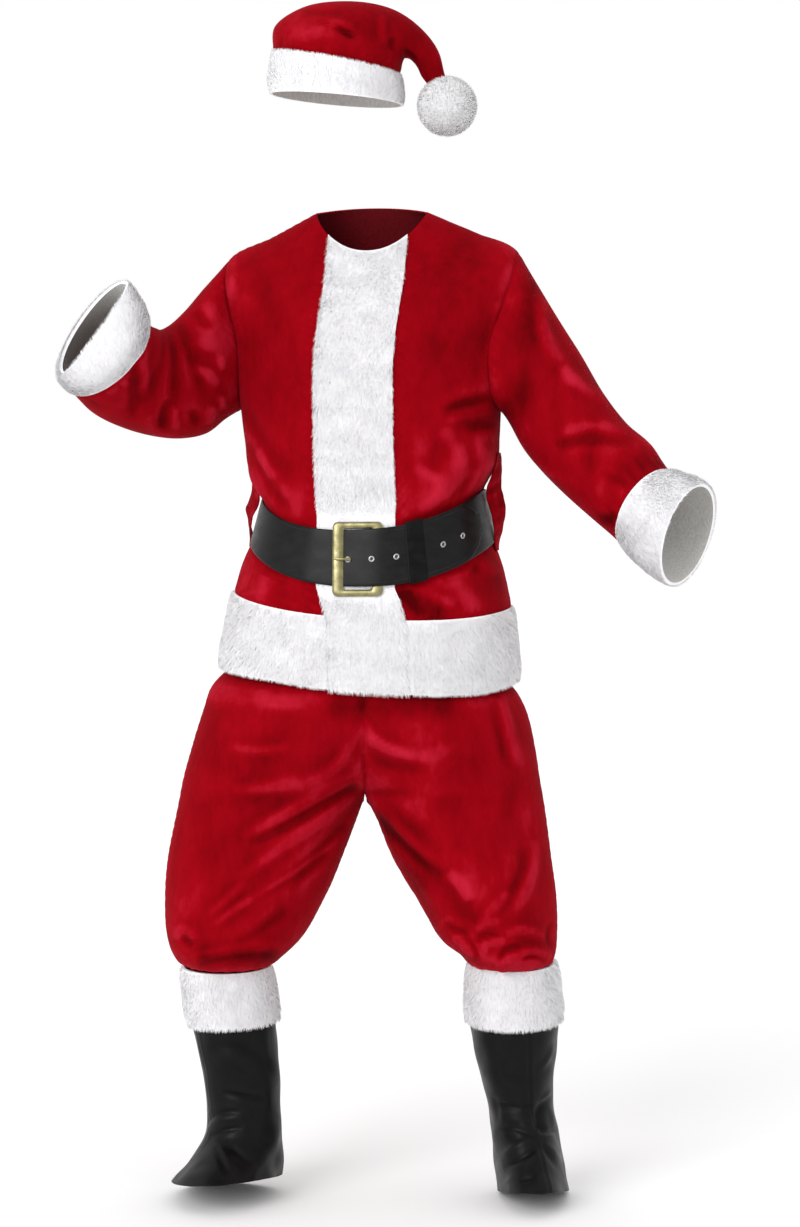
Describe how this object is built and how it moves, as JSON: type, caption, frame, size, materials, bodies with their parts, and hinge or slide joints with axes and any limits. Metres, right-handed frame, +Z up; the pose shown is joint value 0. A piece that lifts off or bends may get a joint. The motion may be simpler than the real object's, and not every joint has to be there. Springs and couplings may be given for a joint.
{
  "type": "santa suit",
  "caption": "Santa suit of red plush with white plush trim in its worn form: floppy hat with a pompom, belted jacket, knee breeches and black boot tops with white bands.",
  "frame": {"origin": "the middle of the jacket's neck opening, between the tops of the shoulders, where the wearer holds the jacket up; the mount wearer_shoulders", "axes": "+Z up; the front faces -Y; +X is towards the wearer's left"},
  "size_m": [1.0216, 0.4341, 1.9111],
  "materials": {
    "red_plush": "short plush pile with a soft sheen",
    "white_plush": "deep white plush",
    "boot_cloth": "black coated cloth with a satin sheen",
    "belt_cloth": "smooth black leatherette with a low sheen",
    "gilt": "pale gilt, satin",
    "nickel": "bright nickel"
  },
  "bodies": {
    "root": {"hat_crown": "red_plush", "jacket_front_right": "red_plush", "jacket_front_left": "red_plush", "jacket_back": "red_plush", "jacket_sleeve_right": "red_plush", "jacket_sleeve_left": "red_plush", "belt_loop_right": "red_plush", "belt_loop_left": "red_plush", "trouser_waistband": "red_plush", "trouser_front_right": "red_plush", "trouser_front_left": "red_plush", "trouser_back_right": "red_plush", "trouser_back_left": "red_plush", "hat_band": "white_plush", "hat_pompom": "white_plush", "placket": "white_plush", "hem_band_right": "white_plush", "hem_band_left": "white_plush", "hem_band_back": "white_plush", "cuff_right": "white_plush", "cuff_left": "white_plush", "boot_band_right": "white_plush", "boot_band_left": "white_plush", "boot_top_right": "boot_cloth", "boot_top_left": "boot_cloth", "belt_strap": "belt_cloth", "belt_keeper": "belt_cloth", "belt_buckle": "gilt", "belt_prong": "gilt", "belt_eyelet_1": "nickel", "belt_eyelet_2": "nickel", "belt_eyelet_3": "nickel", "belt_eyelet_4": "nickel", "belt_eyelet_5": "nickel"}
  },
  "joints": []
}
